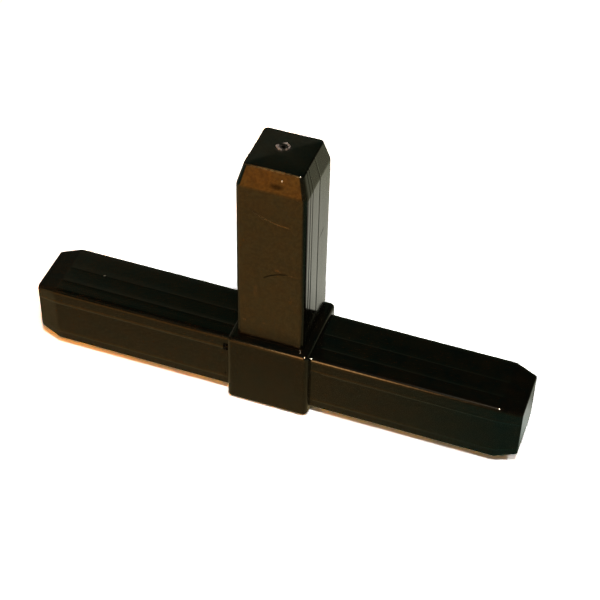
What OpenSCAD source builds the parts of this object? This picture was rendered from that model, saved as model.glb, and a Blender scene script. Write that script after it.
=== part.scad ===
// Square-tube T-connector, moulded in one piece. A cubic hub carries two spigots in line
// along X, the run, and a third that stands up along Z, the stem. Each spigot is pushed into
// a square tube until the tube's cut end meets the hub's shoulder, so that hub and tubes
// lie flush. The origin is the middle of the hub's underside.

/* [Tube] */
// Outside width of the square tubes, and so the side of the hub
tube_side = 20; // [18:0.5:40]
// Wall thickness of the tubes
tube_wall = 1.5; // [1:0.1:2.5]
// Gap between a spigot's faces and the inside of its tube
fit_gap = 0.3; // [0.05:0.05:0.5]

/* [Hub] */
// Radius along the edges of the hub
hub_edge_r = 1.2; // [0.3:0.1:2]

/* [Spigots] */
// Length of the run's two spigots, from the shoulder to the end face
run_len = 50; // [25:1:120]
// Length of the stem, from the shoulder to the end face
stem_len = 50; // [25:1:120]
// Radius along the long edges of the spigots
spigot_edge_r = 1.2; // [0.3:0.1:1.5]

/* [Nose] */
// Length of the bevelled nose that leads a spigot into its tube
nose_len = 5.2; // [3:0.1:12]
// How far the bevel comes in by the end face, on each side
nose_in = 1.4; // [0.6:0.1:2.5]
// Radius where the bevel leaves the side of the spigot
nose_start_r = 3.5; // [0.5:0.1:5]
// Radius where the bevel meets the end face
nose_end_r = 0.4; // [0.2:0.1:1.5]

/* [Grip ribs] */
// Width of a rib
rib_w = 0.4; // [0.2:0.1:1]
// Height of a rib above its face
rib_h = 0.12; // [0.05:0.01:0.3]
// Front and back of the run: upper rib, from the top edge
run_rib_from_top = 3.8; // [2:0.1:5]
// Front and back of the run: lower rib, from the bottom edge
run_rib_from_bottom = 3.1; // [2:0.1:5]
// Top and underside of the run: first rib, from the front edge
run_rib_from_front = 4.1; // [2:0.1:5]
// Top and underside of the run: second rib, from the back edge
run_rib_from_back = 7.6; // [2:0.1:8]
// Both sides of the stem: first rib, from the front edge
stem_rib_from_front = 2.6; // [2:0.1:5]
// Both sides of the stem: second rib, from the first
stem_rib_spacing = 1.5; // [1.2:0.1:2]
// Both sides of the stem: third rib, from the back edge
stem_rib_from_back = 7.7; // [2:0.1:8]

/* [Root marks] */
// Length of the pocket at the root of the left spigot's upper front rib
relief_len = 1.5; // [0.8:0.1:3]
// Width of the pocket, across the rib
relief_w = 2.2; // [0.8:0.1:2.5]
// Depth of the pocket below the face
relief_depth = 1; // [0.2:0.1:1.5]
// How far the middle of the pocket lies above its rib
relief_rise = 0.4; // [0:0.1:1]
// Diameter of the pin hole at the root of the left spigot's lower front rib
pin_hole_d = 0.6; // [0.4:0.1:1]
// Depth of the pin hole below the face
pin_hole_depth = 0.8; // [0.2:0.1:1.5]
// Middle of the pin hole, from the shoulder
pin_hole_from_shoulder = 1.1; // [0.8:0.1:3]
// How far the middle of the pin hole lies above its rib
pin_hole_rise = 1; // [0:0.1:1.5]

/* [Gate stub] */
// Diameter of the broken gate on the stem's end
gate_d = 3.2; // [2:0.1:5]
// Height of the broken gate above the end face
gate_h = 0.4; // [0.1:0.1:1]
// Diameter of the hole torn in its middle
gate_hole_d = 1.2; // [0.6:0.1:1.8]
// Depth of that hole below the end face
gate_hole_depth = 0.6; // [0.2:0.1:2]
// Place of the gate along X, from the stem's axis
gate_x = -0.6; // [-2:0.1:2]
// Place of the gate along Y, from the stem's axis
gate_y = 1.4; // [-2:0.1:2]

/* [Hidden] */

// Dark brown-black of the moulding
body_colour = [0.13, 0.10, 0.07];
// Number of sides that draws an arc smooth
arc_sides = 64;
// Overlap that makes sure of a join or a cut
lap = 0.5;

spigot_side = tube_side - 2 * (tube_wall + fit_gap);
half_hub = tube_side / 2;
half_spigot = spigot_side / 2;
// A spigot starts inside the hub, well short of its middle
spigot_root = half_hub / 2;

// Ribs as places across a face, from the spigot's axis
run_face_ribs = [half_spigot - run_rib_from_top, run_rib_from_bottom - half_spigot];
run_top_ribs = [run_rib_from_front - half_spigot, half_spigot - run_rib_from_back];
stem_first_rib = stem_rib_from_front - half_spigot;
stem_side_ribs = [stem_first_rib, stem_first_rib + stem_rib_spacing, half_spigot - stem_rib_from_back];

function unit(v) = v / norm(v);
function corner_before(points, i) = unit(points[(i + len(points) - 1) % len(points)] - points[i]);
function corner_after(points, i) = unit(points[(i + 1) % len(points)] - points[i]);
function half_angle(points, i) = acos(corner_before(points, i) * corner_after(points, i)) / 2;

// The two points where an arc of radius r leaves the edges at a corner, or the corner itself
function corner_ends(points, i, r) =
    r == 0 ? [points[i]] :
    let (reach = r / tan(half_angle(points, i)))
    [points[i] + reach * corner_before(points, i), points[i] + reach * corner_after(points, i)];

function corner_centre(points, i, r) =
    points[i] + r / sin(half_angle(points, i)) * unit(corner_before(points, i) + corner_after(points, i));

// An outline with straight edges and a true arc of its own radius at each corner
module rounded_outline(points, radii) {
    corners = [0 : len(points) - 1];
    polygon([for (i = corners) each corner_ends(points, i, radii[i])]);
    for (i = corners)
        if (radii[i] > 0)
            translate(corner_centre(points, i, radii[i]))
                circle(radii[i], $fn = arc_sides);
}

module rounded_square(side, r) {
    half = side / 2;
    rounded_outline([[-half, -half], [half, -half], [half, half], [-half, half]], [r, r, r, r]);
}

// Cube with its edges rounded, about its own middle
module rounded_cube(side, r) {
    intersection_for (turn = [[0, 0, 0], [90, 0, 0], [0, 90, 0]])
        rotate(turn)
            linear_extrude(side, center = true)
                rounded_square(side, r);
}

// A spigot's outline from the side, from inside the hub to the end of its bevelled nose.
// half_w is its half width along the straight part.
module nose_outline(len, half_w) {
    end_w = half_w - nose_in;
    rounded_outline(
        [[-half_w, -spigot_root], [half_w, -spigot_root], [half_w, len - nose_len],
         [end_w, len], [-end_w, len], [-half_w, len - nose_len]],
        [0, 0, nose_start_r, nose_end_r, nose_end_r, nose_start_r]);
}

// A plate with that outline, upright in the plane through X and Z
module nose_plate(len, half_w, thick) {
    rotate([90, 0, 0])
        linear_extrude(thick, center = true)
            nose_outline(len, half_w);
}

// Smooth spigot along +Z, with its shoulder at zero: a bar with rounded edges, cut to the nose's
// outline from the front and from the side
module plain_spigot(len) {
    intersection() {
        translate([0, 0, -spigot_root])
            linear_extrude(spigot_root + len + lap)
                rounded_square(spigot_side, spigot_edge_r);
        nose_plate(len, half_spigot, 2 * spigot_side);
        rotate(90)
            nose_plate(len, half_spigot, 2 * spigot_side);
    }
}

// Spigot with fine ribs along it: x_ribs on the two faces across X, at those places along Y,
// and y_ribs on the two faces across Y, at those places along X
module spigot(len, x_ribs, y_ribs) {
    plain_spigot(len);
    for (place = x_ribs)
        translate([0, place, 0])
            nose_plate(len, half_spigot + rib_h, rib_w);
    for (place = y_ribs)
        translate([place, 0, 0])
            rotate(90)
                nose_plate(len, half_spigot + rib_h, rib_w);
}

// Pocket and pin hole at the roots of the front ribs, seen along the spigot with its top at -X
module root_marks() {
    relief_x = -run_face_ribs[0] - relief_rise;
    pin_hole_x = -run_face_ribs[1] - pin_hole_rise;
    translate([relief_x, (relief_depth - lap) / 2 - half_spigot, (relief_len - lap) / 2])
        cube([relief_w, relief_depth + lap, relief_len + lap], center = true);
    translate([pin_hole_x, pin_hole_depth - half_spigot, pin_hole_from_shoulder])
        rotate([90, 0, 0])
            cylinder(h = pin_hole_depth + lap, d = pin_hole_d, $fn = arc_sides);
}

// Lays a spigot made along +Z on its side, along +X from the hub's shoulder
module on_shoulder() {
    translate([half_hub, 0, 0])
        rotate([0, 90, 0])
            children();
}

module right_spigot() {
    on_shoulder()
        spigot(run_len, run_top_ribs, -run_face_ribs);
}

module left_spigot() {
    mirror([1, 0, 0])
        difference() {
            right_spigot();
            on_shoulder()
                root_marks();
        }
}

// Stem, along +Z from the top of the hub
module stem() {
    translate([0, 0, half_hub])
        spigot(stem_len, stem_side_ribs, []);
}

module connector_body() {
    gate_place = [gate_x, gate_y, half_hub + stem_len];
    color(body_colour)
        translate([0, 0, half_hub])
            difference() {
                union() {
                    rounded_cube(tube_side, hub_edge_r);
                    right_spigot();
                    left_spigot();
                    stem();
                    translate(gate_place - [0, 0, lap])
                        cylinder(h = gate_h + lap, d = gate_d, $fn = arc_sides);
                }
                translate(gate_place - [0, 0, gate_hole_depth])
                    cylinder(h = gate_hole_depth + gate_h + lap, d = gate_hole_d, $fn = arc_sides);
            }
}

connector_body();
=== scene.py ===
from math import atan2, cos, pi, radians, sin, tan

import bmesh
import bpy
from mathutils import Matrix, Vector


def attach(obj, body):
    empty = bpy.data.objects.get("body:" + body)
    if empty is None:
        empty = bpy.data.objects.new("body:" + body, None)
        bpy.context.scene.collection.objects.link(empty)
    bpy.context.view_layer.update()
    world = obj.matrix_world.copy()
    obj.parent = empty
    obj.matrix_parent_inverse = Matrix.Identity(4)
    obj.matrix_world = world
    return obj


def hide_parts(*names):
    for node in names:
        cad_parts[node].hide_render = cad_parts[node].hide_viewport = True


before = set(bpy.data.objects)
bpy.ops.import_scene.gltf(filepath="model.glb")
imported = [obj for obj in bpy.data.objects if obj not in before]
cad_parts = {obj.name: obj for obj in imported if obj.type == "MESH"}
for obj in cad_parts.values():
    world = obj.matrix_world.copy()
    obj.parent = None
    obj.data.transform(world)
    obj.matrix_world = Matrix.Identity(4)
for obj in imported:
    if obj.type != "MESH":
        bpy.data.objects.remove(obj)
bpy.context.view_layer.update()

# Viewpoint: the connector is seen from about 39 cm, from the front and a little to the right,
# looking down at some 44 degrees, through a lens of short tele length.
MM = 0.001
bpy.ops.object.select_all(action="DESELECT")
bpy.ops.object.camera_add(
    location=(90.94 * MM, -256.89 * MM, 288.22 * MM),
    rotation=(radians(46.134), radians(-1.033), radians(19.612)),
)
camera = bpy.context.object
camera.name = "viewpoint"
camera.data.sensor_width = 36
camera.data.lens = 98.33
camera.data.clip_start = 0.01
camera.data.clip_end = 50
bpy.context.scene.camera = camera

# Hub: the middle of the connector, which is one solid moulding in dark brown-black plastic.
# It is a cube as wide as the tubes outside, and the mould rounds all its edges.
hub_side = 20 * MM
hub_edge_r = 1.2 * MM
half_hub = hub_side / 2
edge_steps = 8


def fresh(add, **settings):
    """Adds a primitive with nothing else selected and opens it for editing, selected all over."""
    if bpy.context.mode != "OBJECT":
        bpy.ops.object.mode_set(mode="OBJECT")
    bpy.ops.object.select_all(action="DESELECT")
    add(**settings)
    bpy.ops.object.transform_apply(location=True, rotation=True, scale=True)
    bpy.ops.object.mode_set(mode="EDIT")
    bpy.ops.mesh.select_all(action="SELECT")
    return bpy.context.object


def done(name):
    """Points the faces outwards, leaves edit mode and names the object."""
    bpy.ops.mesh.select_all(action="SELECT")
    bpy.ops.mesh.normals_make_consistent(inside=False)
    bpy.ops.object.mode_set(mode="OBJECT")
    bpy.context.object.name = name
    return bpy.context.object


connector = fresh(bpy.ops.mesh.primitive_cube_add, size=hub_side, location=(0, 0, half_hub))
bpy.ops.mesh.bevel(offset=hub_edge_r, segments=edge_steps, profile=0.5, affect="EDGES")
done("connector")

# Spigots: the moulding's three square plugs, a press fit in the tubes. Each is drawn as a flat
# section with rounded corners, fine grip ribs and sides that sank a little as the plastic cooled,
# then extruded station by station, from inside the hub to the end of the bevelled nose.
spigot_half = 8.2 * MM
spigot_edge_r = 1.2 * MM
spigot_len = 50 * MM
root_depth = 1 * MM
root_gap = 0.005 * MM
root_fillet_r = 0.03 * MM
root_fillet_steps = 3
nose_len = 5.2 * MM
nose_in = 1.4 * MM
nose_start_r = 3.5 * MM
nose_end_r = 0.4 * MM
# The stem's end swells to a crown, through rings at these parts of its half width
end_crown = 0.15 * MM
crown_rings = (0.75, 0.5, 0.25)
sink_depth = 0.08 * MM
sink_cuts = [place * MM for place in (-5.6, -2.8, 0, 2.8, 5.6)]
rib_foot = 0.7 * MM
rib_crest = 0.12 * MM
rib_h = 0.1 * MM
run_top_rib_h = 0.05 * MM
run_face_ribs = (4.4 * MM, -5.1 * MM)
run_top_ribs = (-4.1 * MM, 0.6 * MM)
stem_side_ribs = (-5.6 * MM, -4.1 * MM, 0.5 * MM)
# Two places closer than this are the same
same_place = 1e-7


def pick(test):
    """Selects the points of the open mesh whose place passes the test."""
    bpy.ops.mesh.select_mode(type="VERT")
    bpy.ops.mesh.select_all(action="DESELECT")
    mesh = bmesh.from_edit_mesh(bpy.context.object.data)
    for v in mesh.verts:
        v.select = test(v.co)
    mesh.select_flush(True)
    bmesh.update_edit_mesh(bpy.context.object.data)


def sink(across, depth=sink_depth):
    """How far a spigot's side lies below its edges, at a place across it."""
    return depth * max(0, 1 - (across / (spigot_half - spigot_edge_r)) ** 2)


def section_cuts(ribs, height, depth):
    """Places across a side where the section has points, with the rise of each above the edges."""
    cuts = {}
    for rib in ribs:
        for side in (-1, 1):
            cuts[rib + side * rib_foot / 2] = 0
            cuts[rib + side * rib_crest / 2] = height
    for place in sink_cuts:
        if all(abs(place - rib) > rib_foot for rib in ribs):
            cuts[place] = 0
    return {place: rise - sink(place, depth) for place, rise in cuts.items()}


def bend(at, heading, turn, radius, steps):
    """Stations round a corner of the nose's outline: places along the spigot and half widths."""
    reach = radius * tan(turn / 2)
    along, half = at[0] - reach * cos(heading), at[1] + reach * sin(heading)
    stations = [(along, half)]
    for i in range(1, steps + 1):
        a = heading + turn * i / steps
        stations.append((
            along + radius * (sin(a) - sin(heading)),
            half - radius * (cos(heading) - cos(a)),
        ))
    return stations


def spigot_stations(crown):
    """Stations from inside the hub to the end face, which rises by its crown in the middle."""
    slope = atan2(nose_in, nose_len)
    root = [(-root_depth, spigot_half + root_fillet_r)]
    for i in range(root_fillet_steps + 1):
        a = radians(90) * i / root_fillet_steps
        root.append((
            root_gap + root_fillet_r * (1 - cos(a)),
            spigot_half + root_fillet_r * (1 - sin(a)),
        ))
    start = (spigot_len - nose_len, spigot_half)
    end = (spigot_len, spigot_half - nose_in)
    crowned = [(spigot_len + crown * (1 - part ** 2), end[1] * part) for part in crown_rings]
    return (root + bend(start, 0, slope, nose_start_r, steps=5)
            + bend(end, slope, pi / 2 - slope, nose_end_r, steps=8)
            + (crowned if crown else []))


def spigot(name, x_face_ribs, x_rib_h, x_face_sink, y_face_ribs, crown):
    """Spigot along +Z with its shoulder at zero. x_face_ribs are places along Y on the two faces
    across X, and y_face_ribs are places along X on the two faces across Y."""
    fresh(bpy.ops.mesh.primitive_plane_add, size=2 * spigot_half)
    bpy.ops.mesh.bevel(offset=spigot_edge_r, segments=edge_steps, profile=0.5, affect="VERTICES")
    sides = ((1, section_cuts(x_face_ribs, x_rib_h, x_face_sink)),
             (0, section_cuts(y_face_ribs, rib_h, sink_depth)))
    for axis, cuts in sides:
        for place in cuts:
            through, across = [0, 0, 0], [0, 0, 0]
            through[axis], across[axis] = place, 1
            bpy.ops.mesh.select_all(action="SELECT")
            bpy.ops.mesh.bisect(plane_co=through, plane_no=across, threshold=1e-8)
    for axis, cuts in sides:
        face = 1 - axis
        for place, rise in cuts.items():
            pick(lambda p: abs(abs(p[face]) - spigot_half) < same_place
                 and abs(p[axis] - place) < same_place)
            grow = [1, 1, 1]
            grow[face] = 1 + rise / spigot_half
            bpy.ops.transform.resize(value=grow, center_override=(0, 0, 0))
    stations = spigot_stations(crown)
    bpy.ops.mesh.select_all(action="SELECT")
    last_along, last_half = stations[0]
    bpy.ops.transform.translate(value=(0, 0, last_along))
    grow = last_half / spigot_half
    bpy.ops.transform.resize(value=(grow, grow, 1), center_override=(0, 0, last_along))
    for along, half in stations[1:]:
        bpy.ops.mesh.extrude_region_move(
            TRANSFORM_OT_translate={"value": (0, 0, along - last_along)})
        grow = half / last_half
        bpy.ops.transform.resize(value=(grow, grow, 1), center_override=(0, 0, along))
        last_along, last_half = along, half
    return done(name)


def alone(piece):
    """Selects one piece and nothing else."""
    bpy.ops.object.select_all(action="DESELECT")
    piece.select_set(True)
    bpy.context.view_layer.objects.active = piece


def settle(piece, place, turn=(0, 0, 0)):
    """Moves a finished piece to its place and leaves that place in its mesh."""
    alone(piece)
    piece.location, piece.rotation_euler = place, turn
    bpy.ops.object.transform_apply(location=True, rotation=True, scale=True)


def mirrored_copy(piece, name):
    """Copies a piece, with a mesh of its own, to the other side of the connector."""
    alone(piece)
    bpy.ops.object.duplicate()
    bpy.context.object.scale = (-1, 1, 1)
    bpy.ops.object.transform_apply(location=True, rotation=True, scale=True)
    bpy.ops.object.mode_set(mode="EDIT")
    return done(name)


def combine(body, tool, operation):
    """Joins a tool piece to the body, or cuts it out, and takes the tool away."""
    alone(body)
    modifier = body.modifiers.new("combine", "BOOLEAN")
    modifier.object = tool
    modifier.operation = operation
    modifier.solver = "EXACT"
    bpy.ops.object.modifier_apply(modifier=modifier.name)
    bpy.data.objects.remove(tool)


stem = spigot("stem", stem_side_ribs, rib_h, sink_depth, (), end_crown)
settle(stem, (0, 0, hub_side))
right_spigot = spigot("right_spigot", run_top_ribs, run_top_rib_h, 0,
                      [-place for place in run_face_ribs], 0)
settle(right_spigot, (half_hub, 0, half_hub), (0, radians(90), 0))
left_spigot = mirrored_copy(right_spigot, "left_spigot")

# Root marks: a pocket at the root of the left spigot's upper front rib, and a pin hole at the
# root of the lower one. The mould leaves both in the plastic.
relief_len = 1.5 * MM
relief_w = 2.2 * MM
relief_depth = 1 * MM
relief_rise = 0.4 * MM
relief_edge = 0.15 * MM
pin_hole_r = 0.3 * MM
pin_hole_depth = 0.8 * MM
pin_hole_from_shoulder = 1.1 * MM
pin_hole_rise = 1 * MM
pin_hole_taper = 0.6
lap = 0.5 * MM
pocket = fresh(bpy.ops.mesh.primitive_cube_add, size=1)
bpy.ops.transform.resize(value=(relief_len + lap, 2 * relief_depth, relief_w))
bpy.ops.mesh.bevel(offset=relief_edge, segments=2, affect="EDGES")
done("pocket")
settle(pocket, (-half_hub - (relief_len - lap) / 2, -spigot_half,
                half_hub + run_face_ribs[0] + relief_rise))
combine(left_spigot, pocket, "DIFFERENCE")
pin_hole = fresh(bpy.ops.mesh.primitive_cylinder_add, vertices=12, radius=pin_hole_r,
                 depth=2 * pin_hole_depth, rotation=(radians(90), 0, 0))
pick(lambda p: p.y > 0)
bpy.ops.transform.resize(value=(pin_hole_taper, 1, pin_hole_taper), center_override=(0, 0, 0))
done("pin_hole")
settle(pin_hole, (-half_hub - pin_hole_from_shoulder, -spigot_half,
                  half_hub + run_face_ribs[1] + pin_hole_rise))
combine(left_spigot, pin_hole, "DIFFERENCE")
for piece in (stem, right_spigot, left_spigot):
    combine(connector, piece, "UNION")

# Gate stub: where the runner broke off the end of the stem, torn plastic stands up in uneven
# lobes round a small ragged hole. It starts as a round stub sunk in the stem's end, whose rim
# is raised, pulled out into the lobes, roughened and rounded.
end_z = hub_side + spigot_len
gate_x, gate_y = -0.6 * MM, 1.3 * MM
gate_r = 1.55 * MM
gate_h = 0.4 * MM
gate_stub_h = 1 * MM
gate_sunk = 0.44 * MM
gate_ring_w = 0.45 * MM
gate_dip = 0.15 * MM
gate_rim_from = 0.8 * MM
gate_rim_rise = 0.1 * MM
gate_ragged = 0.12 * MM
gate_hole_r = 0.6 * MM
gate_hole_depth = 0.6 * MM
gate_hole_ragged = 0.1 * MM
# Each lobe's bearing from the gate's middle in degrees, its pull outwards and its height
lobe_half_angle = radians(20)
gate_lobes = (
    (30, 0.05 * MM, 0.3 * MM),
    (85, 0.15 * MM, 0.2 * MM),
    (185, 0.35 * MM, 0.4 * MM),
    (232, 0.1 * MM, 0.35 * MM),
    (335, 0, 0.25 * MM),
)
gate = fresh(bpy.ops.mesh.primitive_cylinder_add, vertices=20, radius=gate_r, depth=gate_stub_h)
bpy.ops.transform.translate(value=(0, 0, -gate_sunk))
pick(lambda p: p.z > 0)
bpy.ops.mesh.inset(thickness=gate_ring_w, depth=0)
bpy.ops.mesh.inset(thickness=gate_ring_w, depth=-gate_dip)
pick(lambda p: p.z > 0 and p.xy.length > gate_rim_from)
bpy.ops.transform.translate(value=(0, 0, gate_rim_rise))
for bearing, pull, rise in gate_lobes:
    way = Vector((cos(radians(bearing)), sin(radians(bearing)), 0))
    pick(lambda p: p.z > 0 and p.xy.length > gate_rim_from
         and p.xy.normalized().dot(way.xy) > cos(lobe_half_angle))
    bpy.ops.transform.translate(value=way * pull + Vector((0, 0, rise)))
pick(lambda p: p.z > 0)
bpy.ops.transform.vertex_random(offset=gate_ragged, seed=7)
done("gate")
rounding = gate.modifiers.new("rounding", "SUBSURF")
rounding.levels = rounding.render_levels = 2
bpy.ops.object.modifier_apply(modifier=rounding.name)
bpy.ops.object.mode_set(mode="EDIT")
pick(lambda p: p.z > gate_h)
bpy.ops.transform.resize(value=(1, 1, 0), center_override=(0, 0, gate_h))
done("gate")
settle(gate, (gate_x, gate_y, end_z))
combine(connector, gate, "UNION")
hole = fresh(bpy.ops.mesh.primitive_cone_add, vertices=11, radius1=0.5 * gate_hole_r,
             radius2=gate_hole_r, depth=gate_hole_depth + gate_h)
bpy.ops.transform.vertex_random(offset=gate_hole_ragged, seed=4)
done("hole")
settle(hole, (gate_x, gate_y, end_z + (gate_h - gate_hole_depth) / 2))
combine(connector, hole, "DIFFERENCE")

# Scratches: wear on the stem's front, right side and end. A cut is a fine groove, and a scar is
# plastic that was pushed up in a fine ridge.
scar_middle, scar_r = (4.35, 71.94), 15.79
cut_middle, cut_r = (5.36, 32.27), 10.25
scratch_tip = 0.08


def arc(middle, radius, start, end, steps):
    """Points round an arc on an upright face, by bearings in degrees from straight up."""
    bearings = [radians(start + (end - start) * i / steps) for i in range(steps + 1)]
    return [(middle[0] + radius * sin(a), middle[1] + radius * cos(a)) for a in bearings]


def on_front(points):
    """Places on the stem's front, from millimetres along X and Z."""
    return [(x * MM, sink(x * MM) - spigot_half, z * MM) for x, z in points]


def on_right(points):
    """Places on the stem's right side, from millimetres along Y and Z."""
    return [(spigot_half - sink(y * MM), y * MM, z * MM) for y, z in points]


def on_end(points):
    """Places on the stem's end, from millimetres along X and Y."""
    return [(x * MM, y * MM, end_z) for x, y in points]


def scratch(points, depth, half_w, facing, operation):
    """Cuts a groove or raises a ridge along points on the stem's face across the facing axis."""
    turn = (radians(90), 0, 0) if facing == 0 else (0, radians(90), 0)
    fresh(bpy.ops.mesh.primitive_circle_add, vertices=4, radius=half_w, fill_type="NGON",
          rotation=turn)
    flat = [1, 1, 1]
    flat[facing] = depth / half_w
    bpy.ops.transform.resize(value=flat, center_override=(0, 0, 0))
    bpy.ops.transform.translate(value=points[0])
    bpy.ops.transform.resize(value=(scratch_tip, scratch_tip, scratch_tip),
                             center_override=points[0])
    grows = [1 / scratch_tip] + [1] * (len(points) - 3) + [scratch_tip]
    for last, point, grow in zip(points, points[1:], grows):
        bpy.ops.mesh.extrude_region_move(
            TRANSFORM_OT_translate={"value": Vector(point) - Vector(last)})
        bpy.ops.transform.resize(value=(grow, grow, grow), center_override=point)
    tool = done("scratch")
    combine(connector, tool, operation)


scratch(on_front(arc(scar_middle, scar_r, 214.6, 178.4, steps=10)),
        depth=0.045 * MM, half_w=0.17 * MM, facing=1, operation="UNION")
scratch(on_front(arc(cut_middle, cut_r, -44.5, -6, steps=8)),
        depth=0.1 * MM, half_w=0.16 * MM, facing=1, operation="DIFFERENCE")
scratch(on_right([(1.05, 46.66), (2.2, 47.13), (3.5, 47.53), (4.71, 47.79)]),
        depth=0.05 * MM, half_w=0.15 * MM, facing=0, operation="DIFFERENCE")
scratch(on_end([(2.6, 1.0), (3.9, 1.05), (5.0, 1.0), (5.6, 0.9)]),
        depth=0.05 * MM, half_w=0.15 * MM, facing=2, operation="DIFFERENCE")

# Finish of the moulding: glossy dark brown plastic with faint flow streaks along each spigot,
# a fine mottle and grain, rubbed and dull spots, painted highlights on the stem's nose and scar,
# and plastic whitened by the tear round the gate.
alone(connector)
bpy.ops.object.mode_set(mode="EDIT")
bpy.ops.mesh.select_all(action="SELECT")
bpy.ops.mesh.remove_doubles(threshold=1e-6)
bpy.ops.object.mode_set(mode="OBJECT")
bpy.ops.object.shade_smooth_by_angle(angle=radians(14))
normals = connector.modifiers.new("normals", "WEIGHTED_NORMAL")
normals.keep_sharp = True
bpy.ops.object.modifier_apply(modifier=normals.name)

plastic = bpy.data.materials.new("moulded_plastic")
plastic.use_nodes = True
nodes, links = plastic.node_tree.nodes, plastic.node_tree.links
shader = nodes["Principled BSDF"]
shader.inputs["IOR"].default_value = 1.56
place = nodes.new("ShaderNodeTexCoord").outputs["Object"]
split = nodes.new("ShaderNodeSeparateXYZ")
links.new(place, split.inputs[0])


def noise(scale, detail, stretch=(1, 1, 1)):
    """Noise over the piece, drawn out where the stretch of an axis is below 1."""
    mapping = nodes.new("ShaderNodeMapping")
    mapping.inputs["Scale"].default_value = stretch
    links.new(place, mapping.inputs["Vector"])
    node = nodes.new("ShaderNodeTexNoise")
    node.inputs["Scale"].default_value = scale
    node.inputs["Detail"].default_value = detail
    links.new(mapping.outputs["Vector"], node.inputs["Vector"])
    return node.outputs["Fac"]


def ranged(value, low, high, to_low, to_high):
    """Maps one range of a value to another and holds it there."""
    node = nodes.new("ShaderNodeMapRange")
    node.inputs["From Min"].default_value = low
    node.inputs["From Max"].default_value = high
    node.inputs["To Min"].default_value = to_low
    node.inputs["To Max"].default_value = to_high
    links.new(value, node.inputs["Value"])
    return node.outputs["Result"]


def blended(factor, first, second, kind="RGBA"):
    """Mixes two colours or two values; each is a socket or a constant."""
    node = nodes.new("ShaderNodeMix")
    node.data_type = kind
    pair = [socket for socket in node.inputs if socket.enabled and socket.name in ("A", "B")]
    links.new(factor, node.inputs[0])
    for socket, given in zip(pair, (first, second)):
        if isinstance(given, bpy.types.NodeSocket):
            links.new(given, socket)
        else:
            socket.default_value = given
    return next(socket for socket in node.outputs if socket.enabled)


def product(first, second):
    """Multiplies two values."""
    node = nodes.new("ShaderNodeMath")
    node.operation = "MULTIPLY"
    links.new(first, node.inputs[0])
    links.new(second, node.inputs[1])
    return node.outputs["Value"]


def distance_from(spot, reach=(1, 1, 1)):
    """Distance from a spot, in parts of a reach along each axis."""
    mapping = nodes.new("ShaderNodeMapping")
    mapping.vector_type = "TEXTURE"
    mapping.inputs["Location"].default_value = spot
    mapping.inputs["Scale"].default_value = reach
    links.new(place, mapping.inputs["Vector"])
    length = nodes.new("ShaderNodeVectorMath")
    length.operation = "LENGTH"
    links.new(mapping.outputs["Vector"], length.inputs[0])
    return length.outputs["Value"]


def in_mm(numbers):
    """Lengths from millimetres."""
    return [number * MM for number in numbers]


on_stem = ranged(split.outputs["Z"], hub_side, hub_side + 0.5 * MM, 0, 1)
streaks = blended(on_stem, noise(scale=700, detail=3, stretch=(0.06, 1, 1)),
                  noise(scale=700, detail=3, stretch=(1, 1, 0.06)), "FLOAT")
mottle = noise(scale=260, detail=4)
speckle = noise(scale=900, detail=2)
grain = noise(scale=1500, detail=3)
green_black = (0.0018, 0.0028, 0.0022, 1)
brown_black = (0.0038, 0.0031, 0.0019, 1)
warm_brown = (0.006, 0.0042, 0.0021, 1)
dark = blended(ranged(speckle, 0.35, 0.65, 0, 1), green_black, brown_black)
brown = blended(ranged(mottle, 0.35, 0.7, 0, 1), dark, warm_brown)
# Rubbed spots and painted highlights: each spot's place and its reach along X, Y and Z in
# millimetres, and its colour
rubs_and_painted_highlights = (
    ((1.93, -8.2, 42.9), (1.2, 0.5, 0.6), (0.05, 0.022, 0.008, 1)),
    ((-3.5, -8.2, 35.6), (0.6, 0.5, 2.6), (0.022, 0.011, 0.004, 1)),
    ((4.9, -8.2, 34.3), (0.5, 0.5, 0.7), (0.035, 0.019, 0.005, 1)),
    ((-6.1, -8.2, 25.6), (0.7, 0.5, 0.5), (0.035, 0.018, 0.005, 1)),
    ((-1.5, -8.2, 25.8), (0.6, 0.5, 0.4), (0.03, 0.015, 0.005, 1)),
    ((5.3, -8.2, 42.4), (1.6, 0.5, 0.35), (0.035, 0.018, 0.006, 1)),
    # Painted highlight along the stem's top front edge, where the rounding would catch the lamp
    ((0, -6.75, 69.85), (7.6, 0.35, 0.35), (0.16, 0.1, 0.035, 1)),
    # Painted glint: a near-white speck on the stem's front bevel
    ((2.2, -7.3, 68.0), (0.3, 0.5, 0.3), (0.9, 0.8, 0.6, 1)),
    ((-45.6, 0.74, 18.2), (0.35, 0.35, 0.3), (0.22, 0.2, 0.15, 1)),
)
for spot, reach, colour in rubs_and_painted_highlights:
    far = distance_from(in_mm(spot), in_mm(reach))
    ragged = product(ranged(far, 0.4, 1, 1, 0), ranged(speckle, 0.35, 0.55, 0.2, 1))
    brown = blended(ragged, brown, colour)
# The scar on the stem's front is paler along its ridge, a painted highlight where the ridge would
# catch the lamp, and fades at both ends. The windows keep
# the rest of its circle plain: an axis, a range in millimetres, and the colour's share at each end
scar_line = 0.16 * MM
scar_highlight_colour = (0.055, 0.036, 0.012, 1)
scar_windows = (
    ("Y", -8.05, -7.9, 1, 0),
    ("X", -4.6, -2.5, 0, 1),
    ("X", 3, 4.8, 1, 0),
    ("Z", 60, 60.5, 1, 0),
)
on_arc = nodes.new("ShaderNodeMath")
on_arc.operation = "COMPARE"
links.new(distance_from((scar_middle[0] * MM, -spigot_half, scar_middle[1] * MM), (1, 1000, 1)),
          on_arc.inputs[0])
on_arc.inputs[1].default_value = scar_r * MM
on_arc.inputs[2].default_value = scar_line
scar_highlight = on_arc.outputs["Value"]
for axis, low, high, at_low, at_high in scar_windows:
    scar_highlight = product(scar_highlight, ranged(split.outputs[axis], low * MM, high * MM, at_low, at_high))
brown = blended(scar_highlight, brown, scar_highlight_colour)
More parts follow.
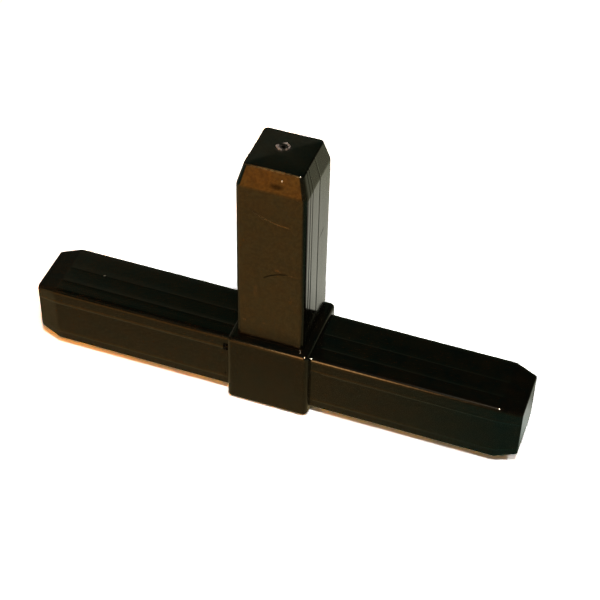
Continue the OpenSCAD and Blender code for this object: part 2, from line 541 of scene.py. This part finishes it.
# The gate stub is torn and whitened from its foot up
gate_foot = end_z + end_crown
near_gate = ranged(distance_from((gate_x, gate_y, end_z + gate_h)), 1.6 * MM, 2.1 * MM, 1, 0)
above_foot = ranged(split.outputs["Z"], gate_foot - 0.02 * MM, gate_foot + 0.1 * MM, 0, 1)
torn = product(near_gate, above_foot)
torn_brown = (0.05, 0.025, 0.02, 1)
torn_white = (0.42, 0.34, 0.29, 1)
blotch = noise(scale=1400, detail=3)
whitened = blended(ranged(blotch, 0.42, 0.58, 0, 1), torn_brown, torn_white)
links.new(blended(torn, brown, whitened), shader.inputs["Base Color"])
worn = ranged(streaks, 0.3, 0.7, 0.08, 0.15)
torn_roughness = 0.6
links.new(blended(torn, worn, torn_roughness, "FLOAT"), shader.inputs["Roughness"])
# Dull spots: each spot's place and its reach along X, Y and Z in millimetres, and the gloss left
dull_spots = (
    ((1.1, -7.7, 66.4), (1.9, 0.9, 0.85), 0.17),
    ((-10.75, -7.6, 14.9), (1.1, 1.5, 1.4), 0.03),
)
gloss = 0.5
for spot, reach, left in dull_spots:
    far = distance_from(in_mm(spot), in_mm(reach))
    gloss = blended(ranged(far, 0.4, 1.1, 1, 0), gloss, left, "FLOAT")
links.new(gloss, shader.inputs["Specular IOR Level"])
# The gloss has a warm tint, darker and paler from grain to grain
hue = ranged(mottle, 0.35, 0.65, 0, 1)
dark_grain = blended(hue, (0.72, 0.62, 0.46, 1), (0.75, 0.56, 0.37, 1))
pale_grain = blended(hue, (0.97, 0.85, 0.63, 1), (1, 0.77, 0.5, 1))
links.new(blended(ranged(grain, 0.42, 0.58, 0, 1), dark_grain, pale_grain),
          shader.inputs["Specular Tint"])
bump = nodes.new("ShaderNodeBump")
bump.inputs["Strength"].default_value = 0.35
bump.inputs["Distance"].default_value = 0.03 * MM
links.new(blended(ranged(mottle, 0, 1, 0.3, 0.7), streaks, grain, "FLOAT"), bump.inputs["Height"])
links.new(bump.outputs["Normal"], shader.inputs["Normal"])
connector.data.materials.clear()
connector.data.materials.append(plastic)
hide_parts("connector_body")
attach(connector, "root")

# Table: a plain white top, wide enough to fill the view. The view sees it fully lit. The gloss of
# the
# plastic sees a painted glow instead: painted reflections, white behind the connector, and warm
# and dimmer in front.
table_side = 3000 * MM
bpy.ops.object.select_all(action="DESELECT")
bpy.ops.mesh.primitive_plane_add(size=table_side)
table = bpy.context.object
table.name = "table"
white = bpy.data.materials.new("table_white")
white.use_nodes = True
# The painted glow that the gloss mirrors lights nothing
white.cycles.emission_sampling = "NONE"
nodes, links = white.node_tree.nodes, white.node_tree.links
nodes.clear()
place = nodes.new("ShaderNodeTexCoord").outputs["Object"]
split = nodes.new("ShaderNodeSeparateXYZ")
links.new(place, split.inputs[0])


def ramp(factor, colour_stops):
    """Colours along a factor; each stop is its place from 0 to 1 and its colour."""
    node = nodes.new("ShaderNodeValToRGB")
    links.new(factor, node.inputs["Fac"])
    stops = node.color_ramp.elements
    last = len(colour_stops) - 1
    for i, (where, colour) in enumerate(colour_stops):
        stop = stops[0] if i == 0 else stops[-1] if i == last else stops.new(where)
        stop.position = where
        stop.color = (*colour, 1)
    return node.outputs["Color"]


def along(direction):
    """How far a place lies along a direction."""
    node = nodes.new("ShaderNodeVectorMath")
    node.operation = "DOT_PRODUCT"
    node.inputs[1].default_value = direction
    links.new(place, node.inputs[0])
    return node.outputs["Value"]


# Painted reflections: the glow the gloss mirrors at each depth of the table, from the far front to
# the far back, with painted shade in dimmer bands near the connector
front_y, back_y = -450 * MM, 120 * MM
painted_reflection_stops = (
    (-450 * MM, (3.2, 1.36, 0.28)),
    (-350 * MM, (2.6, 1.13, 0.23)),
    (-250 * MM, (2.3, 1.03, 0.215)),
    (-72 * MM, (0.76, 0.49, 0.18)),
    (-31 * MM, (0.71, 0.47, 0.175)),
    (-27.5 * MM, (0.27, 0.21, 0.1)),
    (-18 * MM, (0.31, 0.25, 0.12)),
    (-5 * MM, (0.39, 0.31, 0.15)),
    (-1 * MM, (0.4, 0.46, 0.38)),
    (6 * MM, (0.95, 1.05, 0.95)),
    (11 * MM, (0.9, 0.95, 0.84)),
    (16 * MM, (0.42, 0.43, 0.35)),
    (34 * MM, (1.02, 1.03, 0.87)),
    (65 * MM, (0.9, 0.9, 0.74)),
    (120 * MM, (0.9, 0.9, 0.68)),
)
mirrored = ramp(
    ranged(split.outputs["Y"], front_y, back_y, 0, 1),
    [((y - front_y) / (back_y - front_y), colour) for y, colour in painted_reflection_stops],
)
# In front, the painted warm light dies away to the right and far to the left
fade_points = ((0.17, 1), (0.34, 0.88), (0.58, 0.64), (0.92, 0.15))
fade = nodes.new("ShaderNodeFloatCurve")
links.new(ranged(along((1, -0.3, 0)), 0, 60 * MM, 0, 1), fade.inputs["Value"])
curve = fade.mapping.curves[0]
curve.points[0].location = (0, 1)
curve.points[1].location = (1, 0.06)
for where, height in fade_points:
    curve.points.new(where, height)
fade.mapping.update()
painted_warm_light = product(fade.outputs["Value"], ranged(split.outputs["X"], -160 * MM, -100 * MM, 0, 1))
painted_reflection_front = blended(painted_warm_light, (0.05, 0.15, 0.12, 1), mirrored)
# Behind, the painted white reflection yellows far back on the right, and has painted shade to the
# right of a steep slant across the table
white_left = ranged(along((1, 1, 0)), 95 * MM, 125 * MM, 1, 0)
painted_shade_slant = ranged(along((-3.15, 1, 0)), -35 * MM, -18 * MM, 0.55, 1.02)
painted_reflection_behind = blended(painted_shade_slant, (0, 0, 0, 1), blended(white_left, (0.68, 0.7, 0.48, 1), mirrored))
painted_reflection_glow = nodes.new("ShaderNodeEmission")
links.new(blended(ranged(split.outputs["Y"], -5 * MM, -1 * MM, 0, 1), painted_reflection_front, painted_reflection_behind),
          painted_reflection_glow.inputs["Color"])
matt = nodes.new("ShaderNodeBsdfDiffuse")
matt.inputs["Color"].default_value = (0.8, 0.8, 0.8, 1)
shown = nodes.new("ShaderNodeBsdfDiffuse")
shown.inputs["Color"].default_value = (2.7, 2.7, 2.7, 1)


def layered(factor, first, second):
    """Mixes two shaders."""
    mix = nodes.new("ShaderNodeMixShader")
    links.new(factor, mix.inputs["Fac"])
    links.new(first, mix.inputs[1])
    links.new(second, mix.inputs[2])
    return mix.outputs["Shader"]


def by_ray(kind, others, these):
    """Shows one shader to rays of a kind and the other to the rest."""
    return layered(nodes.new("ShaderNodeLightPath").outputs[kind], others, these)


# Far from the connector the view sees the table plain white
white_from, white_by = 150 * MM, 350 * MM
far_white = nodes.new("ShaderNodeEmission")
far_off = ranged(distance_from((0, 0, 0)), white_from, white_by, 0, 1)
top = nodes.new("ShaderNodeOutputMaterial")
lit = by_ray("Is Glossy Ray", matt.outputs["BSDF"], painted_reflection_glow.outputs["Emission"])
seen = layered(far_off, shown.outputs["BSDF"], far_white.outputs["Emission"])
links.new(by_ray("Is Camera Ray", lit, seen), top.inputs["Surface"])
table.data.materials.append(white)

# Light: a softbox overhead, a weak one on the right, and a small warm one low in front that is
# narrowed and turned to the left end, none of them mirrored by the gloss. A warm strip light in
# front, a small lamp by the viewpoint and a dim room are mirrored.
def softbox(name, place, size, watts, colour=(1, 1, 1), aim=(0, 0, 20 * MM), mirrored=True):
    """Lamp of a width and height in metres, turned to face a point."""
    bpy.ops.object.light_add(type="AREA", location=place)
    lamp = bpy.context.object
    lamp.name = name
    lamp.data.shape = "RECTANGLE"
    lamp.data.size, lamp.data.size_y = size
    lamp.data.energy = watts
    lamp.data.color = colour
    away = Vector(place) - Vector(aim)
    lamp.rotation_euler = away.to_track_quat("Z", "Y").to_euler()
    lamp.visible_glossy = mirrored
    return lamp


softbox("top_softbox", (0.14, -0.33, 0.83), size=(0.11, 0.11), watts=3.4, mirrored=False)
warm_lamp = softbox("front_softbox", (-0.35, -0.4, 0.13), size=(0.06, 0.06), watts=0.083,
                    colour=(1, 0.29, 0.01), aim=(-100 * MM, 0, 0), mirrored=False)
warm_lamp.data.spread = radians(30)
softbox("front_strip", (-0.166, -0.88, 0.27), size=(0.102, 0.44), watts=1.2,
        colour=(1, 0.62, 0.3))
softbox("right_softbox", (0.45, 0.02, 0.6), size=(0.1, 0.1), watts=0.9, mirrored=False)
view_lamp = softbox("view_lamp", (0.09, -0.25, 0.37), size=(0.04, 0.04), watts=5)
view_lamp.visible_diffuse = False

world = bpy.data.worlds.new("room")
bpy.context.scene.world = world
world.use_nodes = True
nodes, links = world.node_tree.nodes, world.node_tree.links
nodes.clear()
place = nodes.new("ShaderNodeTexCoord").outputs["Generated"]
# The room has a pale band part way up, lower to the right, and is darkest overhead
room_stops = (
    (0, (0.05, 0.065, 0.05)),
    (0.3, (0.05, 0.06, 0.045)),
    (0.45, (0.18, 0.21, 0.16)),
    (0.51, (0.066, 0.1, 0.075)),
    (0.56, (0.02, 0.055, 0.04)),
    (0.64, (0.003, 0.02, 0.015)),
    (0.8, (0.001, 0.006, 0.005)),
)
dim = nodes.new("ShaderNodeBackground")
links.new(ramp(along((0.5, 0, 1)), room_stops), dim.inputs["Color"])
faint = nodes.new("ShaderNodeBackground")
faint.inputs["Color"].default_value = (0.015, 0.012, 0.009, 1)
pale = nodes.new("ShaderNodeBackground")
pale.inputs["Color"].default_value = (1, 1, 1, 1)
room = nodes.new("ShaderNodeOutputWorld")
unlit = by_ray("Is Diffuse Ray", dim.outputs["Background"], faint.outputs["Background"])
links.new(by_ray("Is Camera Ray", unlit, pale.outputs["Background"]), room.inputs["Surface"])

bpy.context.scene.view_settings.view_transform = "Standard"
